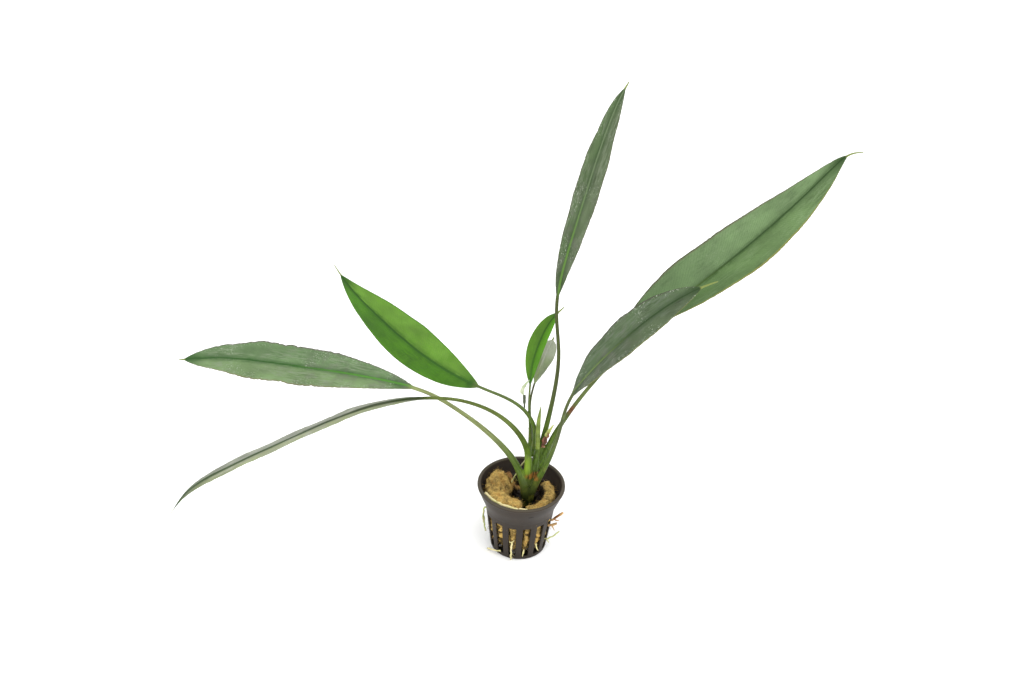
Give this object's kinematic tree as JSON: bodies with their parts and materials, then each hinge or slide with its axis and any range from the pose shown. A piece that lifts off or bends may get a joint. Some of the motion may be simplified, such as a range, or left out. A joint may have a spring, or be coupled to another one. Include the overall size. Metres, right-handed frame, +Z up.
{
  "type": "potted aridarum",
  "caption": "Young aridarum with long lance-shaped leaves on arching stalks, growing in torn mineral wool in a small dark slotted net pot.",
  "frame": {"origin": "centre of the pot's flat underside", "axes": "+Z up; +X to the right as the plant is seen from the front, along its longest extent; -Y towards the viewer"},
  "size_m": [0.4273, 0.1766, 0.2932],
  "materials": {
    "pot_plastic": "satin",
    "wool_ochre": "matte",
    "wool_rust": "matte",
    "leaf_deep": "satin",
    "leaf_mid": "satin",
    "leaf_bright": "satin",
    "leaf_pale": "satin",
    "stem_green": "satin",
    "sheath_straw": "matte",
    "root_cream": "satin",
    "root_orange": "satin",
    "root_brown": "satin",
    "root_green": "satin"
  },
  "bodies": {
    "root": {"net_pot": "pot_plastic", "wool_left": "wool_ochre", "wool_right": "wool_ochre", "wool_back": "wool_rust", "stem": "stem_green", "leaf_far_left": "leaf_deep", "leaf_drooping": "leaf_pale", "leaf_young": "leaf_bright", "leaf_upright": "leaf_deep", "leaf_right_large": "leaf_mid", "leaf_right_front": "leaf_deep", "leaf_small_bright": "leaf_bright", "leaf_small_pale": "leaf_pale", "new_shoot": "leaf_bright", "dry_sheath": "sheath_straw", "air_root": "root_green", "rim_root": "root_cream", "root_orange": "root_orange", "root_brown": "root_brown", "root_green": "root_green", "root_front": "root_cream", "root_base_left": "root_cream", "root_left": "root_green"}
  },
  "joints": []
}
